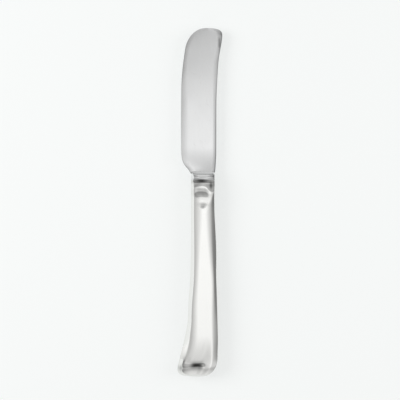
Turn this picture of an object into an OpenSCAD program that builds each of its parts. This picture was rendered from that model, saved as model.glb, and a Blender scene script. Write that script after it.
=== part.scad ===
// Butter knife with a hollow handle, lying flat on the back of the handle.
// +Y runs to the tip of the blade, +X to its spine and +Z up.
// The origin is the middle of the flat on the back of the handle.

/* [Blade] */
// Length of the blade from the bolster to the tip
blade_len = 79.8; // [72:0.1:88]
// Reach of the spreading edge from the centre line
belly_reach = 11.9; // [10:0.1:14]
// Reach of the spine from the centre line
spine_reach = 7.3; // [6.8:0.1:9]
// How far the hooked corner of the tip stands out past the spine
hook_out = 3.2; // [1:0.1:4]
// Thickness of the spine at the heel
spine_t = 2.4; // [2:0.1:3.2]
// Thickness of the spine at the tip
tip_t = 1.7; // [1.3:0.1:2.1]
// Thickness of the spreading edge
edge_t = 0.36; // [0.3:0.02:0.6]
// Width of the ground face beside the spreading edge
ground_len = 4.2; // [3:0.1:5.5]
// Width of the ground face beside the spine
spine_ground_len = 2.4; // [1.6:0.1:3.2]
// Distance of the foremost point from the centre line
tip_x = 2; // [0:0.1:4]
// Length of the round between the spreading edge and the tip
belly_round = 12.1; // [9:0.1:15]
// Length of the round at the hooked corner
corner_round = 5; // [3:0.1:7]
// Length over which the blade thickens towards the heel
swell_len = 14.2; // [11:0.1:17]
// How much it thickens there on each face
swell_h = 0.62; // [0.3:0.02:0.8]
// Length of the fillet between the heel and the bolster
fillet_len = 1.5; // [1:0.1:2.2]

/* [Bolster] */
// Length of the bolster
bolster_len = 3.3; // [2.5:0.1:5]
// Width of the bolster and of the handle's mouth
neck_w = 13; // [12:0.1:13.4]
// Thickness of the bolster and of the handle's mouth
neck_t = 8.8; // [8:0.1:9.4]
// How far the bolster rounds off to its front
front_d = 1.2; // [0.8:0.05:1.6]
// Length over which it rounds off to its front
front_len = 2.1; // [1.5:0.1:2.3]
// Depth of the groove where the bolster meets the handle
groove_d = 0.5; // [0.3:0.05:0.7]
// Length over which the bolster rounds off into that groove
groove_len = 0.9; // [0.6:0.05:1]

/* [Tang] */
// Length of the spigot that locates the handle
spigot_len = 2.6; // [2:0.1:3.5]
// Length of the tang past the spigot
tang_len = 50; // [40:0.5:56]
// Width of the tang at the spigot
tang_w = 6.4; // [5:0.1:7.4]
// Width of the tang at its end
tang_end_w = 3.8; // [3:0.1:4.6]
// Thickness of the tang
tang_t = 3; // [2.4:0.1:3.6]
// Depth of each notch that keys the tang into the cement
notch_d = 0.6; // [0.3:0.05:0.8]

/* [Handle] */
// Length of the handle
handle_len = 106.9; // [98:0.1:116]
// Width of the grip before it flares
grip_w = 16.4; // [15:0.1:18]
// Thickness of the grip
grip_t = 9.8; // [9.4:0.1:11]
// How far the butt flares out on the side of the spreading edge
butt_flare = 5.6; // [3:0.1:7]
// Wall of the stamped shells
wall = 0.8; // [0.6:0.05:1]
// Thickness of the brazed seam between the shells
seam_t = 0.12; // [0.08:0.01:0.2]
// Depth of metal ground off the back where the knife lies on it
ground_d = 0.03; // [0.02:0.01:0.06]

/* [Neck relief] */
// Length over which the mouth rounds off into the groove
mouth_len = 1.6; // [1:0.1:2]
// Height of the bead behind the mouth
bead_h = 0.1; // [0.04:0.02:0.3]
// Distance of the bead's crest from the mouth
bead_at = 3.8; // [3:0.1:4.4]
// Half the length of the bead
bead_half = 2.8; // [2:0.1:3]
// Depth of the bowed dip behind the bead
dip_d = 0.32; // [0.2:0.02:0.5]
// Distance of that dip's floor from the mouth
dip_at = 5.4; // [5:0.1:6.4]
// Length of the dip's front slope
dip_front = 2.5; // [1.8:0.1:3]
// Length of the dip's rear slope
dip_rear = 3.5; // [2:0.1:4]
// How far the dip bows back at the sides of the handle
arch_bow = 1.4; // [0.6:0.1:3]
// Depth of the small round dip
dot_d = 0.16; // [0.1:0.02:0.24]
// Distance of the small round dip from the mouth
dot_at = 13.4; // [12:0.1:14.4]
// Half the length of the small round dip
dot_half = 2.5; // [1.8:0.1:3]
// Length over which the face climbs from the neck to the grip
climb_len = 15; // [12:0.5:18]
// Length of the whole neck zone behind the mouth
neck_zone = 18.7; // [18:0.1:22]

/* [Butt relief] */
// Depth of the scoop in front of the lip
scoop_d = 1.3; // [0.8:0.05:1.6]
// Length of the scoop
scoop_len = 13; // [10:0.1:16]
// Distance of the lip's wall from the end of the handle
lip_at = 8; // [7:0.1:9]
// Length of the slope of the lip's wall
lip_slope_len = 2.1; // [1.4:0.1:2.6]
// How much nearer the end the lip's wall runs at the flared side
lip_skew = 0.8; // [0:0.1:2]
// Length over which the end of the handle rounds off
end_round = 6; // [4:0.1:7]

/* [Fits] */
// Clearance round the spigot in the mouth
spigot_fit = 0.05; // [0.03:0.01:0.1]
// Gap that the cement leaves as it shrinks
cement_gap = 0.05; // [0.03:0.01:0.1]
// Length of cement past the end of the tang
cement_past = 6; // [3:0.5:10]

/* [Hidden] */

neck_half = neck_w / 2;
grip_half = grip_w / 2;
neck_h = neck_t / 2;
grip_h = grip_t / 2;
seam_h = seam_t / 2;

// Where the scoop starts behind the mouth, and the middle of the flat that the knife rests on
scoop_at = handle_len - lip_at - lip_slope_len - scoop_len;
rest_at = (neck_zone + scoop_at) / 2;

// Edges of the blade: share of its length, share of the way out from the neck
belly_shares = [
    [0, 0], [0.03, 0.26], [0.064, 0.67], [0.1, 0.91], [0.167, 1],
    [0.51, 1], [0.645, 0.96], [0.75, 0.82], [0.85, 0.62], [1, 0.31]
];
spine_shares = [[0, 0], [0.06, 0.6], [0.17, 1], [1, 1]];
hook_shares = [
    [0, 0], [0.5, 0], [0.645, 0.15], [0.78, 0.38],
    [0.85, 0.66], [0.93, 0.98], [1, 1.04]
];

// Edges of the handle: share of its length, share of the swell or of the flare
left_swell_shares = [[0, 0], [0.35, 0.15], [0.5, 0.4], [0.62, 0.9], [0.7, 1], [1, 1]];
right_swell_shares = [
    [0, 0], [0.16, 0.02], [0.25, 0.3], [0.36, 0.6],
    [0.5, 0.68], [0.73, 1], [0.81, 1.1], [0.88, 1], [1, 0.9]
];
flare_shares = [
    [0, 0], [0.7, 0], [0.79, 0.26], [0.865, 0.61],
    [0.915, 0.84], [0.95, 1], [1, 1.05]
];

// Rounds at the ends: share of the handle that each takes, and how square it is
butt_left_share = 0.05;
butt_right_share = 0.105;
butt_x_share = 0.12;
square_butt_left_share = 3.5;
square_butt_right_share = 2.2;
square_belly_share = 2.2;
square_corner_share = 3;
square_end_share = 2;
// What is left of a round at its very end, so that no ring shrinks to a point
end_share = 0.999;

// Section of the handle along its length. Each half width has a flat, and beside it a shoulder
// that drops as it rolls over, until a bevel with a low wall below it cuts it off. The back is
// flat sooner, so that the knife lies still.
// Share of each half width that is flat
flat_left_shares = [
    [0, 0.05], [0.09, 0.2], [0.125, 0.12], [0.17, 0.08],
    [0.354, 0.27], [0.507, 0.35], [0.71, 0.32], [0.81, 0.22], [1, 0.24]
];
flat_right_shares = [
    [0, 0.05], [0.09, 0.45], [0.125, 0.25], [0.17, 0.1],
    [0.354, 0.3], [0.507, 0.56], [0.71, 0.6], [0.86, 0.67], [1, 0.68]
];
flat_back_shares = [[0, 0.05], [0.13, 0.52], [1, 0.55]];
// Share of its height that each shoulder drops, and how late it drops it
drop_left_shares = [[0, 0.36], [0.35, 0.36], [0.507, 0.3], [0.71, 0.28], [0.81, 0.42], [1, 0.42]];
drop_right_shares = [[0, 0.3], [0.17, 0.36], [0.354, 0.44], [0.507, 0.35], [0.71, 0.25], [1, 0.22]];
roll_left_share = 2;
roll_right_shares = [[0, 2], [0.354, 2.3], [0.507, 2.3], [0.71, 1.4], [1, 1.3]];
// Height of each wall as a share of the face's, and how steep the bevel above it is
wall_left_shares = [[0, 0.25], [0.507, 0.25], [0.71, 0.25], [0.86, 0.06], [1, 0.06]];
wall_right_share = 0.2;
slope_left_shares = [[0, 1.54], [0.71, 1.54], [0.81, 1.25], [0.864, 1.12], [0.905, 1.25], [1, 1.5]];
slope_right_share = 12;
// How sharply shoulder and bevel meet, where on the shoulder that sets in, so that the flat stays
// flat, and how the points crowd to the edge
blend_share = 10;
blend_from_share = 0.2;
spread_share = 2.5;

// Where the dips lie across the handle, as shares of its half width, and how fast they fade
arch_x_share = -0.15;
dip_share = 0.68;
dip_fade_share = 0.45;
dot_share = 0.4;
dot_x_share = -0.05;

// The scoop across the handle: where it fades out on the right, how much shallower it is at the
// left edge, how fast it deepens, and how its lip softens and fades to the right
scoop_side_share = 0.05;
scoop_fade_share = 0.7;
scoop_left_share = 0.5;
scoop_left_from_share = 0.15;
scoop_power_share = 2;
lip_from_share = 0.05;
lip_fade_share = 0.55;
lip_soft_share = 1.2;
lip_fall_share = 0.5;

// The blade's ground faces: how deep each is, how hollow, and how they grow towards the tip
ground_share = 0.82;
spine_ground_share = 0.5;
ground_power_share = 2.2;
ground_shares = [[0, 0.45], [0.25, 0.55], [0.5, 0.8], [0.8, 0.6], [1, 0.6]];
// How fast the blade thickens to the heel and the fillet rises, and how square the edges are
swell_power_share = 1.7;
fillet_power_share = 2;
square_plate_share = 12;

// Counts of steps round and along the pieces
shoulder_n = 6;
flat_n = 4;
neck_n = 24;
grip_n = 8;
butt_n = 22;
tip_n = 16;
plate_n = 12;
heel_n = 12;
notch_n = 5;
groove_n = 4;

// A smooth step from 0 to 1, and a quarter of a superellipse
function ease(v) = let (c = min(max(v, 0), 1)) c * c * (3 - 2 * c);
function cap(v, n) = pow(1 - pow(min(max(v, 0), 1) * end_share, n), 1 / n);
function mix(a, b, v) = a + (b - a) * v;

// A smooth curve through a table of points
function slope(t, i) =
    let (a = max(i - 1, 0), b = min(i + 1, len(t) - 1))
    (t[b][1] - t[a][1]) / (t[b][0] - t[a][0]);
function curve(t, x, i = 0) =
    i < len(t) - 2 && x > t[i + 1][0] ? curve(t, x, i + 1) :
    let (
        w = t[i + 1][0] - t[i][0],
        v = (x - t[i][0]) / w,
        e = v * v * (3 - 2 * v)
    )
    t[i][1] * (1 - e) + t[i + 1][1] * e
        + w * v * (1 - v) * (slope(t, i) * (1 - v) - slope(t, i + 1) * v);

// Half of the section s behind the mouth, from left to right, the front's with back = 0 and the
// back's with back = 1. Each point holds its share of the half width, its share of the way over
// the shoulder, and the shares that shape its side.
function roll(i) = 1 - pow(1 - i / shoulder_n, spread_share);
function section(s, back) =
    let (
        q = s / handle_len,
        flat_l = curve(back == 1 ? flat_back_shares : flat_left_shares, q),
        flat_r = curve(back == 1 ? flat_back_shares : flat_right_shares, q),
        left = [
            1 - flat_l, curve(drop_left_shares, q), roll_left_share,
            curve(wall_left_shares, q), curve(slope_left_shares, q)
        ],
        right = [
            1 - flat_r, curve(drop_right_shares, q), curve(roll_right_shares, q),
            wall_right_share, slope_right_share
        ]
    )
    [
        for (i = [shoulder_n : -1 : 1]) [-mix(flat_l, 1, roll(i)), roll(i), left],
        for (i = [0 : flat_n])
            let (u = mix(-flat_l, flat_r, i / flat_n))
            [u, 0, u > 0 ? right : left],
        for (i = [1 : shoulder_n]) [mix(flat_r, 1, roll(i)), roll(i), right]
    ];
last = 2 * shoulder_n + flat_n;

// Height of a point of a section of a given half width whose face is h high
function profile(p, half, h) =
    p[1] == 1 ? 0 :
    let (
        width = p[2][0],
        face = h * (1 - p[2][1] * pow(p[1], p[2][2])),
        bevel = h * p[2][3] + (1 - p[1]) * width * half * p[2][4],
        pinch = pow(face / bevel, blend_share) * ease(p[1] / blend_from_share)
    )
    face * pow(1 + pinch, -1 / blend_share);

// Distances behind the mouth of the handle's rings
handle_stations = concat(
    [for (i = [0 : neck_n]) neck_zone * i / neck_n],
    [for (i = [1 : grip_n]) mix(neck_zone, scoop_at, i / grip_n)],
    [for (i = [1 : butt_n]) mix(scoop_at, handle_len, sin(90 * i / butt_n))]
);
inner_stations = [for (s = handle_stations) s * (handle_len - wall) / handle_len];
butt_x = -butt_x_share * grip_w;
neck_section = section(0, 0);

function left_reach(s) =
    neck_half + (grip_half - neck_half) * curve(left_swell_shares, s / handle_len)
        + butt_flare * curve(flare_shares, s / handle_len);
function right_reach(s) =
    neck_half + (grip_half - neck_half) * curve(right_swell_shares, s / handle_len);

// Distance behind the mouth, straightened along the bowed dip
function arch(u, s) = s - arch_bow * pow(u - arch_x_share, 2);

// Height of the handle's face at share u of its half width, s behind the mouth
function neck_face(u, s) =
    let (
        b = arch(u, s),
        bead = bead_h * ease(1 - abs(b - bead_at) / bead_half),
        mouth = groove_d * (1 - cap(1 - s / mouth_len, square_end_share)),
        dip = dip_d * ease(1 - abs(b - dip_at) / (b < dip_at ? dip_front : dip_rear))
            * ease((dip_share - abs(u - arch_x_share)) / dip_fade_share),
        dot = dot_d * ease(1 - norm([(s - dot_at) / dot_half, (u - dot_x_share) / dot_share]))
    )
    mix(neck_h, grip_h, ease(s / climb_len)) + bead - mouth - dip - dot;

// How far the face is scooped out before the lip, which turns up again at its end
function scoop(u, s, lip) =
    let (
        wall_at = handle_len - lip_at - lip_skew * u,
        reach = min(max((s - scoop_at) / (wall_at - scoop_at), 0), 1),
        soft = ease((u - lip_from_share) / lip_fade_share),
        down = pow(reach, scoop_power_share) * (1 + 2 * soft * (1 - reach)),
        rise_len = lip_slope_len * (1 + lip_soft_share * soft),
        rise = lip * (1 - lip_fall_share * soft) * ease((s - wall_at) / rise_len),
        left = scoop_left_share * ease((-u - scoop_left_from_share) / (1 - scoop_left_from_share)),
        side = 1 - ease((u - scoop_side_share) / scoop_fade_share) - left
    )
    scoop_d * side * down * (1 - rise);

// A ring of the handle, drawn in by an inset: x and z, from left to right
function handle_ring(s, inset, lip, base, back) =
    let (
        left_round = butt_left_share * handle_len,
        right_round = butt_right_share * handle_len,
        start = handle_len - end_round,
        cap_l = cap((s - handle_len + left_round) / (left_round - inset), square_butt_left_share),
        cap_r = cap((s - handle_len + right_round) / (right_round - inset), square_butt_right_share),
        cap_z = cap((s - start) / (end_round - inset), square_end_share),
        left = (left_reach(s) + butt_x - inset) * cap_l,
        right = (right_reach(s) - butt_x - inset) * cap_r,
        middle = (right - left) / 2 + butt_x,
        half = (right + left) / 2
    )
    [
        for (p = section(s, back))
            let (h = neck_face(p[0], s) - scoop(p[0], s, lip) - inset - base)
            [middle + half * p[0], base + profile(p, half, h) * cap_z]
    ];

// A ring closed by another one turned over below the middle
function closed(front, back) = concat(front, [for (i = [last - 1 : -1 : 1]) [back[i][0], -back[i][1]]]);

function whole(ring) = closed(ring, ring);

// Faces of a tube of rings with n points each, and of its two ends
function tube_faces(n, rings) = concat(
    [[for (i = [0 : n - 1]) i]],
    [
        for (k = [0 : rings - 2], i = [0 : n - 1])
            let (a = k * n + i, b = k * n + (i + 1) % n)
            each [[a, a + n, b], [b, a + n, b + n]]
    ],
    [[for (i = [n - 1 : -1 : 0]) (rings - 1) * n + i]]
);

module tube(rings) {
    polyhedron(
        points = [for (r = rings) for (p = r[1]) [p[0], r[0], p[1]]],
        faces = tube_faces(len(rings[0][1]), len(rings))
    );
}

// One stamped half of the handle, above the middle plane and behind the mouth
module half_shell(back) {
    k_max = len(handle_stations) - 1;
    n = last + 1;
    skin = [for (s = handle_stations) for (p = handle_ring(s, 0, 1, seam_h, back)) [p[0], -s, p[1]]];
    hollow = [for (s = inner_stations) for (p = handle_ring(s, wall, 0, seam_h, back)) [p[0], -s, p[1]]];
    h = len(skin);
    polyhedron(
        points = concat(skin, hollow),
        faces = [
            for (k = [0 : k_max - 1], i = [0 : last - 1])
                let (a = k * n + i, b = a + n)
                each [
                    [a, a + 1, b], [a + 1, b + 1, b],
                    [h + a, h + b, h + a + 1], [h + a + 1, h + b, h + b + 1]
                ],
            for (i = [0 : last - 1]) each [[i, h + i, i + 1], [i + 1, h + i, h + i + 1]],
            for (k = [0 : k_max - 1])
                let (a = k * n, b = a + n, c = a + last, d = c + n)
                each [[a, b, h + a], [h + a, b, h + b], [c, h + c, d], [h + c, h + d, d]],
            [k_max * n, k_max * n + last, h + k_max * n + last, h + k_max * n],
            [for (i = [0 : last]) k_max * n + i],
            [for (i = [last : -1 : 0]) h + k_max * n + i]
        ]
    );
}

// Outline of the tang, grown by a clearance
function tang_half(q) = mix(tang_w, tang_end_w, q) / 2;
module tang_bar(grow) {
    pitch = tang_len / (notch_n + 1);
    start = spigot_len - groove_len;
    side = concat(
        [[tang_half(0), start]],
        [
            for (i = [1 : notch_n])
                let (q = i / (notch_n + 1), y = spigot_len + pitch * i)
                each [
                    [tang_half(q), y - notch_d],
                    [tang_half(q) - notch_d, y],
                    [tang_half(q), y + notch_d]
                ]
        ],
        [[tang_half(1), spigot_len + tang_len]]
    );
    translate([0, 0, -tang_t / 2 - grow])
        linear_extrude(height = tang_t + 2 * grow)
            polygon(concat(
                [for (p = side) [p[0] + grow, -p[1]]],
                [for (i = [len(side) - 1 : -1 : 0]) [-side[i][0] - grow, -side[i][1]]]
            ));
}

// Half thickness of the blade at share u of its half width, d in front of the bolster
function plate_h(u, half, d) =
    let (
        q = d / blade_len,
        spine = mix(spine_t, tip_t, q) / 2,
        ground = ground_share * curve(ground_shares, q),
        wedge = mix(sin(45 * (1 + u)), 1, ground),
        belly_ground = ground * pow(max(1 - (1 + u) * half / ground_len, 0), ground_power_share),
        spine_ground = spine_ground_share
            * pow(max(1 - (1 - u) * half / spine_ground_len, 0), ground_power_share),
        swell = swell_h * pow(max(1 - d / swell_len, 0), swell_power_share),
        edge = pow(max(1 - pow(abs(u), square_plate_share), 0), 1 / square_plate_share)
    )
    (mix(edge_t / 2, spine, wedge - belly_ground - spine_ground) + swell) * edge;

// A ring of the blade, d in front of the bolster
function blade_ring(d) =
    let (
        q = d / blade_len,
        belly = neck_half + (belly_reach - neck_half) * curve(belly_shares, q),
        spine = neck_half + (spine_reach - neck_half) * curve(spine_shares, q)
            + hook_out * curve(hook_shares, q),
        cap_l = cap((d - blade_len + belly_round) / belly_round, square_belly_share),
        cap_r = cap((d - blade_len + corner_round) / corner_round, square_corner_share),
        left = (belly + tip_x) * cap_l,
        right = (spine - tip_x) * cap_r,
        middle = (right - left) / 2 + tip_x,
        half = (right + left) / 2,
        fillet = (1 - front_d / neck_h) * pow(max(1 - d / fillet_len, 0), fillet_power_share)
    )
    [
        for (p = neck_section)
            [middle + half * p[0], mix(plate_h(p[0], half, d), profile(p, neck_half, neck_h), fillet)]
    ];

// A ring of the bolster, rounded off to its front and to the groove at its rear
function bolster_ring(s, inset) =
    let (
        rear = groove_d * (1 - cap(1 - s / groove_len, square_end_share)),
        front = front_d * (1 - cap(1 - (bolster_len - s) / front_len, square_end_share)),
        half = neck_half - inset
    )
    [for (p = neck_section) [half * p[0], profile(p, half, neck_h - rear - front - inset)]];

module blade_forging() {
    tip = [
        for (i = [0 : tip_n])
            let (d = blade_len - belly_round * (1 - sin(90 * i / tip_n)))
            [bolster_len + d, whole(blade_ring(d))]
    ];
    plate = [
        for (i = [1 : plate_n])
            let (d = mix(swell_len, blade_len - belly_round, i / plate_n))
            if (i < plate_n) [bolster_len + d, whole(blade_ring(d))]
    ];
    heel = [
        for (i = [0 : heel_n])
            let (d = swell_len * pow(i / heel_n, 2))
            [bolster_len + d, whole(blade_ring(d))]
    ];
    band = [
        for (i = [0 : groove_n])
            let (s = groove_len * (1 - cos(90 * i / groove_n)))
            [s, whole(bolster_ring(s, 0))]
    ];
    front = [
        for (i = [0 : groove_n - 1])
            let (s = bolster_len - front_len * (1 - sin(90 * i / groove_n)))
            [s, whole(bolster_ring(s, 0))]
    ];
    spigot = [
        for (s = [-spigot_len, 0])
            [s, whole(bolster_ring(0, wall + spigot_fit))]
    ];
    tube(concat(spigot, band, front, heel, plate, tip));
}

// Where the mouth of the handle and the middle plane lie
module placed() {
    translate([0, rest_at, grip_h - ground_d]) children();
}

module blade() {
    color("silver") placed() union() {
        blade_forging();
        tang_bar(0);
    }
}

module handle_shell_front() {
    color("gainsboro") placed() half_shell(0);
}

// The back half is ground flat by a hair where the knife lies on it
module handle_shell_back() {
    color("lightgray") placed() intersection() {
        mirror([0, 0, 1]) half_shell(1);
        translate([-grip_w, -handle_len - wall, -grip_h + ground_d])
            cube([2 * grip_w, handle_len + 2 * wall, grip_h]);
    }
}

module seam_braze() {
    outer = handle_stations;
    inner = inner_stations;
    k_max = len(outer) - 1;
    color("khaki") placed() translate([0, 0, -seam_h]) linear_extrude(height = seam_t) polygon(concat(
        [for (k = [0 : k_max]) [handle_ring(outer[k], 0, 1, seam_h, 0)[0][0], -outer[k]]],
        [for (k = [k_max : -1 : 0]) [handle_ring(outer[k], 0, 1, seam_h, 0)[last][0], -outer[k]]],
        [for (k = [0 : k_max]) [handle_ring(inner[k], wall, 0, seam_h, 0)[last][0], -inner[k]]],
        [for (k = [k_max : -1 : 0]) [handle_ring(inner[k], wall, 0, seam_h, 0)[0][0], -inner[k]]]
    ));
}

function cement_ring(s, back) = handle_ring(s, wall + cement_gap, 0, 0, back);

module tang_cement() {
    front = spigot_len + cement_gap;
    rear = spigot_len + tang_len + cement_past;
    stations = concat([front], [for (s = handle_stations) if (s > front && s < rear) s], [rear]);
    k_max = len(stations) - 1;
    color("dimgray") placed() difference() {
        tube([
            for (k = [k_max : -1 : 0])
                let (s = stations[k])
                [-s, closed(cement_ring(s, 0), cement_ring(s, 1))]
        ]);
        tang_bar(cement_gap);
    }
}

blade();
handle_shell_front();
handle_shell_back();
seam_braze();
tang_cement();
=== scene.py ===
import math

import bmesh
import bpy
import numpy as np
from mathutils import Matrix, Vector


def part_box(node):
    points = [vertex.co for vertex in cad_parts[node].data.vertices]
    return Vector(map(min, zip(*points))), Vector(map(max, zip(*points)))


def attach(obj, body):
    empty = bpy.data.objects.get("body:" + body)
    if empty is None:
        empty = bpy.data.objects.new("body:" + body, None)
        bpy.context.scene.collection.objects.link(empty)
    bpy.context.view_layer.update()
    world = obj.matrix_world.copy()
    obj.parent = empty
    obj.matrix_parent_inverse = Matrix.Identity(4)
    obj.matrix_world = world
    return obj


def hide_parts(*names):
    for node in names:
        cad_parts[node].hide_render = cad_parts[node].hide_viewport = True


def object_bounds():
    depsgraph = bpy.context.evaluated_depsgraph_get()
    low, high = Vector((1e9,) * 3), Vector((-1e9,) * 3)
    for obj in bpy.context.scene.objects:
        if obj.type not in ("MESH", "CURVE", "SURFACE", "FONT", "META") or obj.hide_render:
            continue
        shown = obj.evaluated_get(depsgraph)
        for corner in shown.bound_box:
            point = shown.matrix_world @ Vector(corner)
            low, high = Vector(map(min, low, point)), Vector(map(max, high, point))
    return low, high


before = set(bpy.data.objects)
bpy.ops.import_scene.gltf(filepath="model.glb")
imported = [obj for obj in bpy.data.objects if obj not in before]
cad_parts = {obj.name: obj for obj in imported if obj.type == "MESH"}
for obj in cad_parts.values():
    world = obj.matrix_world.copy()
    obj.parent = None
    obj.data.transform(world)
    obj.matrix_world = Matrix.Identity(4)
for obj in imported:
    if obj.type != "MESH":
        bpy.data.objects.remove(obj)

# The butter knife lies on the back of its handle. +Y runs to the blade's tip, +X to its spine.
# Its sizes are in millimetres and named as in its source, and MM turns them into metres.
MM = 0.001
UM = 0.000001
cad_low, cad_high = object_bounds()
front_low, front_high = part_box("handle_shell_front")
seam_low, seam_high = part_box("seam_braze")

# Sizes read from the frame
mouth_y = front_high[1] / MM
handle_len = (front_high[1] - front_low[1]) / MM
middle_z = (seam_low[2] + seam_high[2]) / 2 / MM
seam_t = (seam_high[2] - seam_low[2]) / MM
grip_h = front_high[2] / MM - middle_z

# Blade
bolster_len = 3.3
blade_len = cad_high[1] / MM - mouth_y - bolster_len
belly_reach = 11.9
spine_reach = 7.3
hook_out = 3.2
spine_t = 2.4
tip_t = 1.7
edge_t = 0.36
ground_len = 4.2
spine_ground_len = 2.4
tip_x = 2
belly_round = 12.1
corner_round = 5
swell_len = 14.2
swell_h = 0.62
fillet_len = 1.5

# Bolster and tang
neck_half = 6.5
neck_h = 4.4
front_d = 1.2
front_len = 2.1
groove_d = 0.5
groove_len = 0.9
mouth_len = 1.6
spigot_len = 2.6
tang_len = 50
tang_w = 6.4
tang_end_w = 3.8
tang_t = 3
notch_d = 0.6
spigot_fit = 0.05

# Handle
grip_half = 8.2
butt_flare = 5.6
wall = 0.8
bead_h = 0.1
bead_at = 4.1
bead_half = 2.8
dip_d = 0.32
dip_at = 5.7
dip_front = 2.5
dip_rear = 3.5
dot_d = 0.16
dot_at = 13.4
dot_half = 2.5
arch_bow = 1.4
climb_len = 15
scoop_d = 1.3
scoop_len = 13
lip_at = 8
lip_slope_len = 2.1
lip_skew = 0.8
end_round = 6
neck_zone = 18.7
scoop_at = handle_len - lip_at - lip_slope_len - scoop_len

# Outlines. A table goes from 0 to 1 along the blade or the handle and gives shares of a reach. The
# rounds at the butt are shares of its length, and the square ones are powers of superellipses.
belly_shares = [
    (0, 0), (0.03, 0.26), (0.064, 0.67), (0.1, 0.91), (0.167, 1),
    (0.51, 1), (0.645, 0.96), (0.75, 0.82), (0.85, 0.62), (1, 0.31),
]
spine_shares = [(0, 0), (0.06, 0.6), (0.17, 1), (1, 1)]
hook_shares = [(0, 0), (0.5, 0), (0.645, 0.15), (0.78, 0.38), (0.85, 0.66), (0.93, 0.98), (1, 1.04)]
left_swell_shares = [(0, 0), (0.35, 0.15), (0.5, 0.4), (0.62, 0.9), (0.7, 1), (1, 1)]
right_swell_shares = [
    (0, 0), (0.16, 0.02), (0.25, 0.3), (0.36, 0.6),
    (0.5, 0.68), (0.73, 1), (0.81, 1.1), (0.88, 1), (1, 0.9),
]
flare_shares = [(0, 0), (0.7, 0), (0.79, 0.26), (0.865, 0.61), (0.915, 0.84), (0.95, 1), (1, 1.05)]
butt_left_share = 0.05
butt_right_share = 0.105
butt_x_share = 0.12
square_butt_left_share = 3.5
square_butt_right_share = 2.2
square_belly_share = 2.2
square_corner_share = 3
square_end_share = 2
end_share = 0.999
butt_x = -butt_x_share * 2 * grip_half

# Sections: how far the flat reaches, how deep the shoulders drop and how roundly they roll, how
# high the bevels start at the seam and how steeply they rise, and how softly the two blend
flat_left_shares = [
    (0, 0.05), (0.09, 0.2), (0.125, 0.08), (0.17, 0.04), (0.354, 0.27),
    (0.507, 0.35), (0.71, 0.32), (0.81, 0.22), (1, 0.24),
]
flat_right_shares = [
    (0, 0.05), (0.035, 0.12), (0.06, 0.57), (0.09, 0.6), (0.125, 0.38), (0.17, 0.2),
    (0.354, 0.3), (0.507, 0.56), (0.71, 0.6), (0.86, 0.67), (1, 0.68),
]
flat_back_shares = [(0, 0.05), (0.13, 0.52), (1, 0.55)]
drop_left_shares = [
    (0, 0.36), (0.35, 0.36), (0.507, 0.3), (0.71, 0.28),
    (0.81, 0.42), (0.93, 0.42), (0.97, 0.33), (1, 0.3),
]
drop_right_shares = [
    (0, 0.3), (0.03, 0.24), (0.055, 0.14), (0.075, 0.22), (0.095, 0.31), (0.17, 0.36),
    (0.354, 0.44), (0.507, 0.35), (0.71, 0.25), (0.9, 0.24), (0.94, 0.12), (1, 0.07),
]
wall_left_shares = [(0, 0.25), (0.507, 0.25), (0.71, 0.25), (0.86, 0.06), (1, 0.06)]
wall_right_share = 0.2
slope_left_shares = [
    (0, 1.85), (0.35, 1.7), (0.6, 1.54), (0.71, 1.54), (0.81, 1.12),
    (0.864, 0.97), (0.91, 1), (0.94, 1.2), (1, 1.5),
]
slope_right_share = 12
roll_left_share = 2
roll_right_shares = [(0, 2), (0.354, 2.3), (0.507, 2.3), (0.71, 1.4), (1, 1.3)]
bolster_flat_share = 0.5
blend_share = 10
blend_from_share = 0.2
spread_share = 2.5

# Relief of the handle: places and fades across it in shares of its half width, and amounts in
# shares of the relief's own depth or length
arch_x_share = -0.15
dip_share = 0.68
dip_fade_share = 0.45
dot_share = 0.4
dot_x_share = -0.05
scoop_side_share = 0.05
scoop_fade_share = 0.7
scoop_left_share = 0.5
scoop_left_from_share = 0.15
scoop_power_share = 2
lip_from_share = 0.05
lip_fade_share = 0.46
lip_soft_share = 1.2
lip_fall_share = 0.68

# Faces of the blade: the ground ones beside the edge and the spine, the wedge between and the heel
ground_share = 0.82
ground_power_share = 2.2
ground_shares = [(0, 0.45), (0.25, 0.55), (0.5, 0.78), (0.65, 0.56), (0.8, 0.26), (1, 0.24)]
ground_len_shares = [(0, 1), (0.5, 1), (0.7, 0.65), (1, 0.6)]
spine_ground_shares = [(0, 0.47), (0.6, 0.42), (0.74, 0.55), (0.81, 0.75), (0.88, 1), (0.94, 1), (1, 0.8)]
spine_ground_len_shares = [(0, 1), (0.5, 1), (0.7, 1.3), (1, 1.35)]
wedge_shares = [(0, 0.45), (0.25, 0.55), (0.5, 0.78), (0.65, 0.72), (0.8, 0.66), (1, 0.66)]
square_plate_share = 12
swell_power_share = 1.7
fillet_power_share = 2

# Painted shade: darkness painted into the steel's colour where dips, creases, grooves and edges lie in
# shade. Each has its darkness, then a patch along the knife in millimetres and one across it in shares
# of the half width, or in millimetres too for the hook. A patch has its middle, its reach before and
# beyond it, and a power where that isn't 2. The function of the handle's painted shade and forging()
# say where the places along the knife are counted from. The groove's painted shade keeps
# GROOVE_DARK_ENDS of itself at the sides.
# Painted shade in the groove at the mouth, at the right end of the bead and in the dot
MOUTH_PAINTED_SHADE = [
    (0.96, (0.6, 1.12, 1.12), (-0.1, 0.68, 0.68)),
    (0.75, (2.9, 1.9, 1.9), (0.66, 0.12, 0.12)),
    (0.52, (dot_at - 0.2, 1.1, 1.1), (dot_x_share, 0.32, 0.5)),
]
# Painted shade in the dip behind the bead
DIP_PAINTED_SHADE = [(0.5, (dip_at + 0.9, 1.95, 1.95, 4), (-0.02, 0.6, 0.42))]
DIP_PAINTED_SHADE_SKEW = 0.9
# Painted shade in the crease before the lip
CREASE_PAINTED_SHADE = [(0.96, (1.1, 1.5, 1.9), (-0.02, 0.35, 0.3, 4))]
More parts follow.
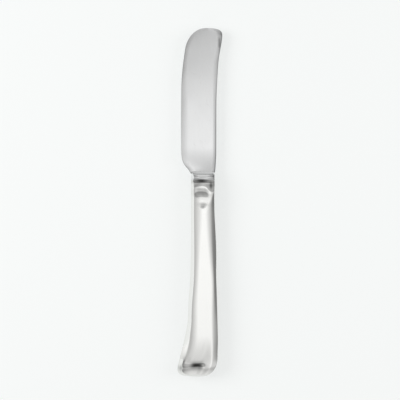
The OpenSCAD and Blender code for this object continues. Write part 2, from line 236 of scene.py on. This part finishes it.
# Painted shade about the butt, most at its left corner
BUTT_PAINTED_SHADE = [
    (0.22, (2.2, 1.3, 1.3), (-0.72, 0.55, 0.55)),
    (0.17, (2.7, 1.1, 1.1), (0.42, 0.2, 0.2)),
    (0.15, (-1.2, 2.4, 2.4), (-0.5, 0.13, 0.13)),
    (0.28, (2.4, 2.1, 2.1), (-0.82, 0.09, 0.09)),
]
# Painted shade in the groove between the bolster and the handle
GROOVE_DARK = 0.85
GROOVE_PATCH = (0, 0.96, 1.1)
GROOVE_PATCH_ACROSS = (-0.15, 0.52, 0.52)
GROOVE_DARK_ENDS = 0.05
# Painted shade along the spine's edge near the tip
HOOK_PAINTED_SHADE = [(0.5, (-8.1, 2.9, 2.9, 4), (8.9, 0.7, 0.7))]
# Painted shade on the lip's end wall
LIP_DARK = 0.12
LIP_DARK_FROM = 2
LIP_DARK_LEN = 2
LIP_DARK_FROM_X = -1.2
LIP_DARK_W = 0.7
# Painted shade on the side walls along the seam
SEAM_DARK = 0.08
SEAM_DARK_H = 1.2

# Counts of steps: the coarse ones serve hidden faces, and the fine ones split each in FINE
FINE = 4
SHOULDER_N, FLAT_N = 6, 4
NECK_N, GRIP_N, BUTT_N = 24, 8, 22
TIP_N, PLATE_N, FLARE_N, GROOVE_N, NOTCH_N = 16, 12, 12, 4, 5

# The angle in degrees from which the edge between two faces is sharp
SHARP_DEG = 38


def ease(v):
    """A smooth step from 0 to 1."""
    c = np.clip(v, 0, 1)
    return c * c * (3 - 2 * c)


def cap(v, n):
    """A quarter of a superellipse, 1 up to v = 0 and almost 0 at v = 1."""
    return (1 - (np.clip(v, 0, 1) * end_share) ** n) ** (1 / n)


def patch(v, middle, before, beyond, power=2):
    """A smooth bump, 1 at its middle and almost 0 at twice its reach, which may differ by side."""
    off = v - middle
    return np.exp(-abs(off / np.where(off < 0, before, beyond)) ** power)


def mix(a, b, v):
    """From a at v = 0 to b at v = 1."""
    return a + (b - a) * v


def curve(table, x):
    """A smooth curve through a table of points."""
    px, py = np.array(table, float).T
    ends = np.arange(len(px))
    before, after = np.maximum(ends - 1, 0), np.minimum(ends + 1, len(px) - 1)
    slopes = (py[after] - py[before]) / (px[after] - px[before])
    i = int(np.clip(np.searchsorted(px, x) - 1, 0, len(px) - 2))
    w = px[i + 1] - px[i]
    v = (x - px[i]) / w
    bend = w * v * (1 - v) * (slopes[i] * (1 - v) - slopes[i + 1] * v)
    return mix(py[i], py[i + 1], v * v * (3 - 2 * v)) + bend


def section(s, back, fine):
    """The section from left to right: places across, places on the roll, and its sizes.

    It is the handle's, s behind the mouth, and the bolster's where s is below 0.
    """
    q = max(s, 0) / handle_len
    front = min(-min(s, 0) / bolster_len, 1)
    flat_l = mix(curve(flat_back_shares if back else flat_left_shares, q), bolster_flat_share, front)
    flat_r = mix(curve(flat_back_shares if back else flat_right_shares, q), bolster_flat_share, front)
    roll = 1 - (1 - np.linspace(0, 1, SHOULDER_N * fine + 1)) ** spread_share
    across = np.linspace(-flat_l, flat_r, FLAT_N * fine + 1)
    u = np.concatenate([-mix(flat_l, 1, roll[:0:-1]), across, mix(flat_r, 1, roll[1:])])
    over = np.concatenate([roll[:0:-1], 0 * across, roll[1:]])
    right = u > 0
    width = np.where(right, 1 - flat_r, 1 - flat_l)
    drop = np.where(right, curve(drop_right_shares, q), curve(drop_left_shares, q))
    wall_share = np.where(right, wall_right_share, curve(wall_left_shares, q))
    slope = np.where(right, slope_right_share, curve(slope_left_shares, q))
    power = np.where(right, curve(roll_right_shares, q), roll_left_share)
    return u, over, width, drop, wall_share, slope, power


def profile(parts, half, h):
    """Heights of a section of a given half width whose face is h high."""
    u, over, width, drop, wall_share, slope, power = parts
    face = h * (1 - drop * over ** power)
    bevel = h * wall_share + (1 - over) * width * half * slope
    pinch = (face / bevel) ** blend_share * ease(over / blend_from_share)
    z = face * (1 + pinch) ** (-1 / blend_share)
    z[[0, -1]] = 0
    return z


def handle_stations(fine):
    """Distances behind the mouth of the handle's rings."""
    butt = np.sin(np.linspace(0, math.pi / 2, BUTT_N * fine + 1)[1:])
    return np.concatenate([
        np.linspace(0, neck_zone, NECK_N * fine + 1),
        np.linspace(neck_zone, scoop_at, GRIP_N * fine + 1)[1:],
        mix(scoop_at, handle_len, butt),
    ])


def arch(u, s):
    """Distance behind the mouth, straightened along the arches of the neck."""
    return s - arch_bow * (u - arch_x_share) ** 2


def handle_face(u, s):
    """Height of the handle's face before the scoop: its round at the mouth, the bead and both dips."""
    b = arch(u, s)
    bead = bead_h * ease(1 - abs(b - bead_at) / bead_half)
    mouth = groove_d * (1 - cap(1 - s / mouth_len, square_end_share))
    dip_slope = np.where(b < dip_at, dip_front, dip_rear)
    dip_end = ease((dip_share - abs(u - arch_x_share)) / dip_fade_share)
    dip = dip_d * ease(1 - abs(b - dip_at) / dip_slope) * dip_end
    dot = dot_d * ease(1 - np.hypot((s - dot_at) / dot_half, (u - dot_x_share) / dot_share))
    return neck_h + (grip_h - neck_h) * ease(s / climb_len) + bead - mouth - dip - dot


def scoop(u, s, lip):
    """How far the panel is scooped out before the lip, which turns up again at its end."""
    wall_at = handle_len - lip_at - lip_skew * u
    reach = np.clip((s - scoop_at) / (wall_at - scoop_at), 0, 1)
    soft = ease((u - lip_from_share) / lip_fade_share)
    down = reach ** scoop_power_share * (1 + 2 * soft * (1 - reach))
    rise_len = lip_slope_len * (1 + lip_soft_share * soft)
    left = scoop_left_share * ease((-u - scoop_left_from_share) / (1 - scoop_left_from_share))
    side = 1 - ease((u - scoop_side_share) / scoop_fade_share) - left
    rise = lip * (1 - lip_fall_share * soft) * ease((s - wall_at) / rise_len)
    return scoop_d * side * down * (1 - rise)


def painted_shade_sum(shade_patches, along, across):
    """How dark some patches of painted shade make places along and across the knife."""
    return sum(dark * patch(along, *a) * patch(across, *b) for dark, a, b in shade_patches)


def painted_shade(u, s, z):
    """Painted shade on the handle: how dark its colour is painted near the mouth, in the dips, in the
    crease and at the butt, on the lip and along the seam, where the steel lies in shade.

    The mouth's patches count from the mouth, the bowed dip's along its arch and from nearer the mouth
    on the left, the crease's from the middle of the lip's wall, and the butt's from all of that wall,
    which lies askew.
    """
    past_crease = s - (handle_len - lip_at)
    past_wall = past_crease + lip_skew * u
    dark = painted_shade_sum(MOUTH_PAINTED_SHADE, s, u)
    dark = dark + painted_shade_sum(DIP_PAINTED_SHADE, arch(u, s) - DIP_PAINTED_SHADE_SKEW * np.minimum(u, 0), u)
    dark = dark + painted_shade_sum(CREASE_PAINTED_SHADE, past_crease, u)
    dark = dark + painted_shade_sum(BUTT_PAINTED_SHADE, past_wall, u)
    # Painted shade on the lip's end wall and along the side walls by the seam
    lip = ease((past_wall - LIP_DARK_FROM) / LIP_DARK_LEN) * ease((u - LIP_DARK_FROM_X) / LIP_DARK_W)
    seam_line = patch(z, 0, SEAM_DARK_H, SEAM_DARK_H)
    return np.clip(dark + LIP_DARK * lip + SEAM_DARK * seam_line, 0, 1)


def handle_ring(s, inset, lip, back, fine):
    """A ring of the handle, drawn in by an inset: x and height, from left to right.

    Lip is 1 where the scoop turns up into the lip, as it does outside, and 0 where it doesn't.
    """
    q = s / handle_len
    base = seam_t / 2
    left_round = butt_left_share * handle_len
    right_round = butt_right_share * handle_len
    swell = grip_half - neck_half
    left_reach = neck_half + swell * curve(left_swell_shares, q) + butt_flare * curve(flare_shares, q)
    right_reach = neck_half + swell * curve(right_swell_shares, q)
    cap_l = cap((s - handle_len + left_round) / (left_round - inset), square_butt_left_share)
    cap_r = cap((s - handle_len + right_round) / (right_round - inset), square_butt_right_share)
    cap_z = cap((s - handle_len + end_round) / (end_round - inset), square_end_share)
    left = (left_reach + butt_x - inset) * cap_l
    right = (right_reach - butt_x - inset) * cap_r
    parts = section(s, back, fine)
    u, half = parts[0], (right + left) / 2
    z = profile(parts, half, handle_face(u, s) - scoop(u, s, lip) - inset - base) * cap_z
    return np.stack([(right - left) / 2 + butt_x + half * u, base + z], 1)


def blade_ring(d, fine):
    """Upper half of a ring of the blade, d in front of the bolster."""
    q = d / blade_len
    belly = neck_half + (belly_reach - neck_half) * curve(belly_shares, q)
    spine = neck_half + (spine_reach - neck_half) * curve(spine_shares, q)
    spine += hook_out * curve(hook_shares, q)
    left = (belly + tip_x) * cap((d - blade_len + belly_round) / belly_round, square_belly_share)
    right = (spine - tip_x) * cap((d - blade_len + corner_round) / corner_round, square_corner_share)
    parts = section(-bolster_len, False, fine)
    u = parts[0]
    half = (right + left) / 2
    thick = mix(spine_t, tip_t, q) / 2
    belly_len = ground_len * curve(ground_len_shares, q)
    belly_ground = np.clip(1 - (1 + u) * half / belly_len, 0, 1) ** ground_power_share
    belly_ground *= ground_share * curve(ground_shares, q)
    spine_len = spine_ground_len * curve(spine_ground_len_shares, q)
    spine_ground = np.clip(1 - (1 - u) * half / spine_len, 0, 1) ** ground_power_share
    spine_ground *= curve(spine_ground_shares, q)
    wedge = mix(np.sin(math.pi / 4 * (1 + u)), 1, ground_share * curve(wedge_shares, q))
    plate = mix(edge_t / 2, thick, wedge - belly_ground - spine_ground)
    plate = plate + swell_h * max(1 - d / swell_len, 0) ** swell_power_share
    plate *= np.clip(1 - abs(u) ** square_plate_share, 0, 1) ** (1 / square_plate_share)
    x = (right - left) / 2 + tip_x + half * u
    fillet = (1 - front_d / neck_h) * max(1 - d / fillet_len, 0) ** fillet_power_share
    return np.stack([x, mix(plate, profile(parts, neck_half, neck_h), fillet)], 1)


def bolster_ring(s, inset, fine):
    """Upper half of a ring of the bolster, rounded off to its front and to the groove behind it."""
    parts = section(-s, False, fine)
    rear = groove_d * (1 - cap(1 - s / groove_len, square_end_share))
    front = front_d * (1 - cap(1 - (bolster_len - s) / front_len, square_end_share))
    h = neck_h - rear - front - inset
    return np.stack([(neck_half - inset) * parts[0], profile(parts, neck_half - inset, h)], 1)


def tang_ring(half, fine):
    """Upper half of a ring of the tang, which is a flat bar."""
    u = section(0, False, fine)[0]
    z = np.full(len(u), tang_t / 2)
    z[[0, -1]] = 0
    return np.stack([half * np.clip(u / u[-2], -1, 1), z], 1)


def closed(ring):
    """A ring closed by its mirror image below the middle."""
    return np.concatenate([ring, ring[-2:0:-1] * (1, -1)])


def show(thing):
    """Puts an object in the scene."""
    bpy.context.scene.collection.objects.link(thing)


def new_piece(name, form, slot, material, *nodes):
    """A piece in place of CAD nodes, whose form is its points, faces and painted shade.

    The points are in millimetres about the handle's mouth and middle plane.
    """
    points, faces, shade_paint = form
    placed = (np.asarray(points) + (0, mouth_y, middle_z)) * MM
    mesh = bpy.data.meshes.new(name)
    mesh.from_pydata(placed.tolist(), [], faces)
    mesh.validate()
    work = bmesh.new()
    work.from_mesh(mesh)
    bmesh.ops.recalc_face_normals(work, faces=work.faces)
    for face in work.faces:
        face.smooth = True
    for edge in work.edges:
        edge.smooth = edge.calc_face_angle(0) < math.radians(SHARP_DEG)
    work.to_mesh(mesh)
    work.free()
    # Painted shade: each point's darkness, which the steel's material paints into its colour
    layer = mesh.attributes.new("painted_shade", "FLOAT", "POINT")
    layer.data.foreach_set("value", np.asarray(shade_paint, np.float32))
    mesh.materials.append(material)
    piece = bpy.data.objects.new(name, mesh)
    show(piece)
    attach(piece, "root")
    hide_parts(*nodes)


def strip(fine_edge, coarse_edge):
    """Faces between a fine edge and a coarse one, given as lists of point numbers."""
    n = (len(fine_edge) - 1) // (len(coarse_edge) - 1)
    return [
        [*fine_edge[k * n:k * n + n + 1], coarse_edge[k + 1], coarse_edge[k]]
        for k in range(len(coarse_edge) - 1)
    ]


def grid_faces(first, rows, columns):
    """Faces of a grid of points numbered from first, row by row."""
    return [
        [a, a + 1, a + columns + 1, a + columns]
        for k in range(rows - 1)
        for a in range(first + k * columns, first + (k + 1) * columns - 1)
    ]


def shell_rings(back, fine):
    """Rings of a shell's outside and of its coarse inside, each with its distance behind the mouth."""
    outer = [(s, handle_ring(s, 0, 1, back, fine)) for s in handle_stations(FINE)]
    inner_stations = handle_stations(1) * (handle_len - wall) / handle_len
    return outer, [(s, handle_ring(s, wall, 0, back, 1)) for s in inner_stations]


def half_shell(back):
    """Points, faces and painted shade of one stamped half of the handle: fine outside, coarse inside."""
    outer, inner = shell_rings(back, FINE)
    side = -1 if back else 1
    skin = [(x, -s, side * z) for s, ring in outer for x, z in ring]
    shade_paint = [v for s, ring in outer for v in painted_shade(section(s, back, FINE)[0], s, ring[:, 1])]
    if back:
        # What would reach below the floor is ground flat, as the solid's rest face is
        skin = [(x, y, max(z, -middle_z)) for x, y, z in skin]
    hollow = [(x, -s, side * z) for s, ring in inner for x, z in ring]
    wide, narrow, h = len(skin) // len(outer), len(hollow) // len(inner), len(skin)
    out_last, in_last = (len(outer) - 1) * wide, h + (len(inner) - 1) * narrow
    faces = grid_faces(0, len(outer), wide) + grid_faces(h, len(inner), narrow)
    faces += strip(list(range(wide)), list(range(h, h + narrow)))
    faces += strip(list(range(0, h, wide)), list(range(h, h + len(hollow), narrow)))
    faces += strip(
        list(range(wide - 1, h, wide)), list(range(h + narrow - 1, h + len(hollow), narrow))
    )
    faces.append([out_last, out_last + wide - 1, in_last + narrow - 1, in_last])
    faces.append(list(range(out_last, out_last + wide)))
    faces.append(list(range(in_last, in_last + narrow)))
    return skin + hollow, faces, shade_paint + [0.0] * len(hollow)


def seam():
    """Points, faces and painted shade, which is nil, of the brazed seam, a flat U between the shells."""
    outer, inner = shell_rings(False, 1)
    points, faces, edges = [], [], []
    for z in (-seam_t / 2, seam_t / 2):
        for rings in (outer, inner):
            for end in (0, -1):
                points += [(ring[end][0], -s, z) for s, ring in rings]
    n, m = len(outer), len(inner)
    layer = 2 * (n + m)
    # Each of the two layers has an outer edge and an inner one, which both run round the butt
    for first in (0, layer):
        out_l, out_r = list(range(first, first + n)), list(range(first + n, first + 2 * n))
        inside = first + 2 * n
        in_l, in_r = list(range(inside, inside + m)), list(range(inside + m, first + layer))
        faces += strip(out_l, in_l) + strip(out_r, in_r)
        faces.append([out_l[-1], out_r[-1], in_r[-1], in_l[-1]])
        edges.append((out_l + out_r[::-1], in_l + in_r[::-1]))
    for low, high in zip(*edges):
        faces += [[a, b, d, c] for a, b, c, d in zip(low, low[1:], high, high[1:])]
    for end in (0, -1):
        faces.append([edges[0][0][end], edges[0][1][end], edges[1][1][end], edges[1][0][end]])
    return points, faces, [0.0] * len(points)


def forging():
    """Points, faces and painted shade of the blade with its bolster, spigot and tang, as one tube of
    rings.
    """
    # The tang's rings, each with its y and its half width, from the end to the spigot
    notch = tang_len / (NOTCH_N + 1)
    tang = [(-spigot_len - tang_len, tang_end_w / 2)]
    for i in range(NOTCH_N, 0, -1):
        y = spigot_len + notch * i
        half = mix(tang_w, tang_end_w, i / (NOTCH_N + 1)) / 2
        tang += [(-y - notch_d, half), (-y, half - notch_d), (-y + notch_d, half)]
    tang.append((-spigot_len, tang_w / 2))
    turn = np.linspace(0, math.pi / 2, GROOVE_N * FINE + 1)
    tip_turn = np.linspace(0, math.pi / 2, TIP_N * FINE + 1)
    heel = swell_len * np.linspace(0, 1, FLARE_N * FINE + 1) ** 2
    plate = np.linspace(swell_len, blade_len - belly_round, PLATE_N * FINE + 1)[1:-1]
    tip = blade_len - belly_round * (1 - np.sin(tip_turn))
    rings = [(y, tang_ring(half, FINE)) for y, half in tang]
    rings += [(y, bolster_ring(0, wall + spigot_fit, FINE)) for y in (-spigot_len, 0)]
    rings += [(s, bolster_ring(s, 0, FINE)) for s in groove_len * (1 - np.cos(turn))]
    rings += [(s, bolster_ring(s, 0, FINE)) for s in bolster_len - front_len * (1 - np.sin(turn[:-1]))]
    rings += [(bolster_len + d, blade_ring(d, FINE)) for d in (*heel, *plate, *tip)]
    points = [(x, y, z) for y, ring in rings for x, z in closed(ring)]
    n = len(points) // len(rings)
    faces = [list(range(n)), list(range(len(points) - n, len(points)))]
    for k in range(len(rings) - 1):
        for i in range(n):
            a, b = k * n + i, k * n + (i + 1) % n
            faces.append([a, b, b + n, a + n])

    # The painted shade in the groove counts from the mouth, that along the hook from the tip and in
    # millimetres across
    x, y = np.array(points).T[:2]
    across = mix(GROOVE_DARK_ENDS, 1, patch(x / neck_half, *GROOVE_PATCH_ACROSS))
    shade_paint = GROOVE_DARK * across * patch(y, *GROOVE_PATCH)
    shade_paint = shade_paint + painted_shade_sum(HOOK_PAINTED_SHADE, y - bolster_len - blade_len, x)
    return points, faces, shade_paint.tolist()


# Finish of the steel. A noise lies nearly all in NOISE_SPAN, and its crests are the hairlines.
# The near-black colour that the painted shade darkens the steel towards
PAINTED_SHADE_COLOUR = (0.012, 0.012, 0.011, 1)
CLOUD_DIM = 0.97
NOISE_SPAN = (0.3, 0.7)
NOISE_ROUGH = 0.6
HAIRLINE_SPAN = (0.69, 0.72)
HAIRLINE_ROUGH = 0.12
GRAIN_DETAIL, CLOUD_DETAIL, HAIRLINE_DETAIL, WAVE_DETAIL = 4, 3, 2, 1
SPECKLE_DETAIL = 5
SPECKLE_ROUGH = 0.65


class Nodes:
    """The nodes of a material or of the world. An input is set to a value or linked to an output."""

    def __init__(self, owner):
        owner.use_nodes = True
        self.tree = owner.node_tree

    def give(self, node, inputs):
        """Sets or links inputs of a node, by name or number."""
        for key, value in inputs.items():
            if isinstance(value, bpy.types.NodeSocket):
                self.tree.links.new(value, node.inputs[key])
            else:
                node.inputs[key].default_value = value

    def add(self, kind, inputs=None, **settings):
        """A new node. Its settings come first, as they decide which inputs it has."""
        node = self.tree.nodes.new(kind)
        for key, value in settings.items():
            setattr(node, key, value)
        self.give(node, inputs or {})
        return node

    def place(self):
        """A place in the object's own frame, in metres."""
        return self.add("ShaderNodeTexCoord").outputs["Object"]

    def noise(self, vector, scale, detail, rough):
        """A soft noise from 0 to 1."""
        inputs = {"Vector": vector, "Scale": scale, "Detail": detail, "Roughness": rough}
        return self.add("ShaderNodeTexNoise", inputs).outputs["Fac"]

    def spread(self, value, span, to=(0, 1)):
        """A value's range, spread to another range."""
        ends = dict(zip(("From Min", "From Max", "To Min", "To Max"), (*span, *to)))
        return self.add("ShaderNodeMapRange", {"Value": value, **ends}).outputs["Result"]

    def combined(self, operation, a, b):
        """Two values in one by an operation."""
        return self.add("ShaderNodeMath", {0: a, 1: b}, operation=operation).outputs["Value"]

    def mixed(self, factor, a, b, **settings):
        """Two colours in one by a factor."""
        inputs = {"Factor": factor, "A": a, "B": b}
        return self.add("ShaderNodeMix", inputs, data_type="RGBA", **settings).outputs["Result"]

    def relief(self, height, depth, under=None):
        """The normal of a relief of a depth in micrometres, laid over another normal."""
        node = self.add("ShaderNodeBump", {"Strength": 1, "Distance": depth * UM, "Height": height})
        if under is not None:
            self.give(node, {"Normal": under})
        return node.outputs["Normal"]

    def ramp(self, value, stops):
        """A brightness that follows a value through stops of (value, brightness)."""
        low, high = stops[0][0], stops[-1][0]
        node = self.add("ShaderNodeValToRGB", {"Fac": self.spread(value, (low, high))})
        node.color_ramp.interpolation = "LINEAR"
        elements = node.color_ramp.elements
        while len(elements) < len(stops):
            elements.new(0.5)
        for element, (at, bright) in zip(elements, stops):
            element.position = (at - low) / (high - low)
            element.color = (bright, bright, bright, 1)
        return node.outputs["Color"]


def new_material(name):
    """A material, its nodes and its shader."""
    material = bpy.data.materials.new(name)
    nodes = Nodes(material)
    return material, nodes, material.node_tree.nodes["Principled BSDF"]


def steel(name, colour, rough, grain, clouds, scratches, turns):
    """Polished steel: a grain along the knife, clouds left by polishing and hairline scratches.

    Grain, clouds and scratches each hold the sizes of their spots along X, Y and Z in millimetres
    and the depth of their relief in micrometres, and turns are the scratches' angles in degrees.
    """
    material, nodes, shader = new_material(name)
    place = nodes.place()

    def noise(spots, detail, turn=0):
        """A noise with spots of the given sizes, turned about Z."""
        sizes = [size * MM for size in spots]
        inputs = {"Vector": place, "Scale": sizes, "Rotation": (0, 0, math.radians(turn))}
        turned = nodes.add("ShaderNodeMapping", inputs, vector_type="TEXTURE").outputs["Vector"]
        return nodes.noise(turned, 1, detail, NOISE_ROUGH)

    def hairs(turn):
        """The scratches of one angle."""
        return nodes.spread(noise(scratches[0], HAIRLINE_DETAIL, turn), HAIRLINE_SPAN)

    grain_lines = noise(grain[0], GRAIN_DETAIL)
    cloud = noise(clouds[0], CLOUD_DETAIL)
    hairlines = hairs(turns[0])
    for turn in turns[1:]:
        hairlines = nodes.combined("MAXIMUM", hairlines, hairs(turn))

    dim = (*[c * CLOUD_DIM for c in colour], 1)
    tone = nodes.mixed(cloud, dim, (*colour, 1))
    # Painted shade: each point's darkness, which darkens the steel's colour where it lies in shade
    dark = nodes.add("ShaderNodeAttribute", attribute_name="painted_shade").outputs["Fac"]
    half = (0, 0.5)
    uneven = nodes.combined(
        "ADD", nodes.spread(grain_lines, NOISE_SPAN, half), nodes.spread(cloud, NOISE_SPAN, half)
    )
    gloss = nodes.spread(uneven, (0, 1), rough)
    scratched = nodes.spread(hairlines, (0, 1), (0, HAIRLINE_ROUGH))
    waves = nodes.relief(noise(clouds[0], WAVE_DETAIL), clouds[1])
    lines = nodes.relief(grain_lines, grain[1], waves)
    nodes.give(shader, {
        "Metallic": 1,
        "Base Color": nodes.mixed(dark, tone, PAINTED_SHADE_COLOUR),
        "Roughness": nodes.combined("ADD", gloss, scratched),
        "Normal": nodes.relief(hairlines, -scratches[1], lines),
    })
    return material


def speckled(name, dark, light, scale, rough, metallic, depth):
    """A dull or softly shining material with a speckle of two tones.

    Scale is how many specks there are to a metre, and depth is that of the relief in micrometres.
    """
    material, nodes, shader = new_material(name)
    grains = nodes.noise(nodes.place(), scale, SPECKLE_DETAIL, SPECKLE_ROUGH)
    nodes.give(shader, {
        "Metallic": metallic,
        "Roughness": rough,
        "Base Color": nodes.mixed(grains, (*dark, 1), (*light, 1)),
        "Normal": nodes.relief(grains, depth),
    })
    return material


# How bright the room is, by the x and the y of the direction: white overhead, grey on the left
# with a bright strip at its foot, dark on the right, a dark flat beyond the tip and a grey one
# beyond the butt
ROOM_X = [
    (-1, 0.95), (-0.97, 0.5), (-0.8, 0.5), (-0.57, 0.6), (-0.26, 0.78), (0, 1),
    (0.26, 0.78), (0.57, 0.56), (0.71, 0.37), (0.8, 0.24), (1, 0.18),
]
ROOM_Y = [
    (-1, 0.8), (-0.8, 0.74), (-0.6, 0.64), (-0.44, 0.62), (-0.32, 0.69), (-0.13, 0.89),
    (-0.045, 0.94), (0, 0.96), (0.055, 0.95), (0.094, 0.84), (0.13, 0.66), (0.155, 0.48),
    (0.2, 0.46), (0.35, 0.55), (0.6, 0.62), (0.8, 0.65), (1, 0.6),
]
ROOM_LEVEL = 1.17
ROOM_SEEN = 0.9

# Floor, with half its width in metres
FLOOR_HALF = 1.5
FLOOR_COLOUR = (0.4, 0.41, 0.405, 1)
FLOOR_GLOW_COLOUR = (0.985, 1, 0.995, 1)
FLOOR_GLOW = 0.57
FLOOR_ROUGH = 0.9

# Softboxes: the name, the power in watts and the place of each, and their width, in metres
SOFTBOXES = [("left_softbox", 3.8, (-0.72, 0.2, 0.55)), ("right_softbox", 2, (0.72, 0.1, 0.4))]
SOFTBOX_SIZE = 0.6


def room():
    """The room that the steel mirrors, which the camera itself sees as plain white."""
    world = bpy.data.worlds.new("studio")
    bpy.context.scene.world = world
    nodes = Nodes(world)
    direction = nodes.add("ShaderNodeTexCoord").outputs["Generated"]
    axes = nodes.add("ShaderNodeSeparateXYZ", {"Vector": direction})
    across = nodes.ramp(axes.outputs["X"], ROOM_X)
    along = nodes.ramp(axes.outputs["Y"], ROOM_Y)
    both = nodes.mixed(1, across, along, blend_type="MULTIPLY")
    level = nodes.add("ShaderNodeVectorMath", {0: both, "Scale": ROOM_LEVEL}, operation="SCALE")
    direct = nodes.add("ShaderNodeLightPath").outputs["Is Camera Ray"]
    seen = nodes.mixed(direct, level.outputs["Vector"], (ROOM_SEEN, ROOM_SEEN, ROOM_SEEN, 1))
    nodes.give(world.node_tree.nodes["Background"], {"Color": seen})


def pale_floor():
    """A plain pale floor, which glows a little."""
    corners = [(x * FLOOR_HALF, y * FLOOR_HALF, 0) for x, y in ((-1, -1), (1, -1), (1, 1), (-1, 1))]
    mesh = bpy.data.meshes.new("floor")
    mesh.from_pydata(corners, [], [[0, 1, 2, 3]])
    floor = bpy.data.objects.new("floor", mesh)
    show(floor)
    pale, nodes, shader = new_material("pale_floor")
    nodes.give(shader, {
        "Base Color": FLOOR_COLOUR,
        "Emission Color": FLOOR_GLOW_COLOUR,
        "Emission Strength": FLOOR_GLOW,
        "Roughness": FLOOR_ROUGH,
        "Specular IOR Level": 0,
    })
    mesh.materials.append(pale)


def softboxes():
    """A round soft light on each side, which the steel doesn't mirror."""
    for name, energy, place in SOFTBOXES:
        light = bpy.data.lights.new(name, "AREA")
        light.shape = "DISK"
        light.size = SOFTBOX_SIZE
        light.energy = energy
        lamp = bpy.data.objects.new(name, light)
        lamp.location = place
        lamp.rotation_mode = "QUATERNION"
        lamp.rotation_quaternion = (-lamp.location).to_track_quat("-Z", "Y")
        lamp.visible_glossy = False
        show(lamp)


# The photograph in pixels: its size, and the knife's centre line, tip and butt in it. The camera's
# height is in millimetres, and what it sees reaches as far as CAMERA_FAR, in metres.
PHOTO_SIZE = 400
PHOTO_CENTRE_X = 203
PHOTO_TIP_Y = 28
PHOTO_BUTT_Y = 376.5
CAMERA_HEIGHT = 600
CAMERA_FAR = 10


def camera():
    """The camera straight over the knife, framed as the photograph is."""
    scale = (blade_len + bolster_len + handle_len) / (PHOTO_BUTT_Y - PHOTO_TIP_Y)
    data = bpy.data.cameras.new("camera")
    data.lens = data.sensor_width * (CAMERA_HEIGHT - middle_z) / (PHOTO_SIZE * scale)
    data.clip_end = CAMERA_FAR
    eye = bpy.data.objects.new("camera", data)
    x = (PHOTO_SIZE / 2 - PHOTO_CENTRE_X) * scale
    y = cad_high[1] / MM - (PHOTO_SIZE / 2 - PHOTO_TIP_Y) * scale
    eye.location = (x * MM, y * MM, CAMERA_HEIGHT * MM)
    show(eye)
    bpy.context.scene.camera = eye


blade_steel = steel(
    "blade_steel", (0.855, 0.86, 0.86), (0.12, 0.2), grain=((0.3, 11, 0.3), 8), clouds=((22, 22, 22), 60),
    scratches=((0.13, 7, 0.13), 1.8), turns=(3, -9, 38),
)
handle_steel = steel(
    "handle_steel", (0.9, 0.9, 0.88), (0.07, 0.13), grain=((0.53, 8, 0.53), 2), clouds=((22, 22, 22), 80),
    scratches=((0.11, 4, 0.11), 1.4), turns=(14, -28, 65),
)
braze = speckled(
    "braze", (0.66, 0.64, 0.58), (0.78, 0.76, 0.7), scale=900, rough=0.25, metallic=1, depth=5,
)
cement = speckled(
    "cement", (0.2, 0.19, 0.17), (0.42, 0.4, 0.36), scale=700, rough=0.9, metallic=0, depth=80,
)

new_piece("knife_blade", forging(), "blade_steel", blade_steel, "blade")
new_piece("shell_front", half_shell(back=False), "handle_steel", handle_steel, "handle_shell_front")
new_piece("shell_back", half_shell(back=True), "handle_steel", handle_steel, "handle_shell_back")
new_piece("seam_line", seam(), "braze", braze, "seam_braze")
cement_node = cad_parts["tang_cement"]
cement_node.data.materials.clear()
cement_node.data.materials.append(cement)

room()
pale_floor()
softboxes()
camera()
bpy.context.scene.view_settings.view_transform = "Standard"
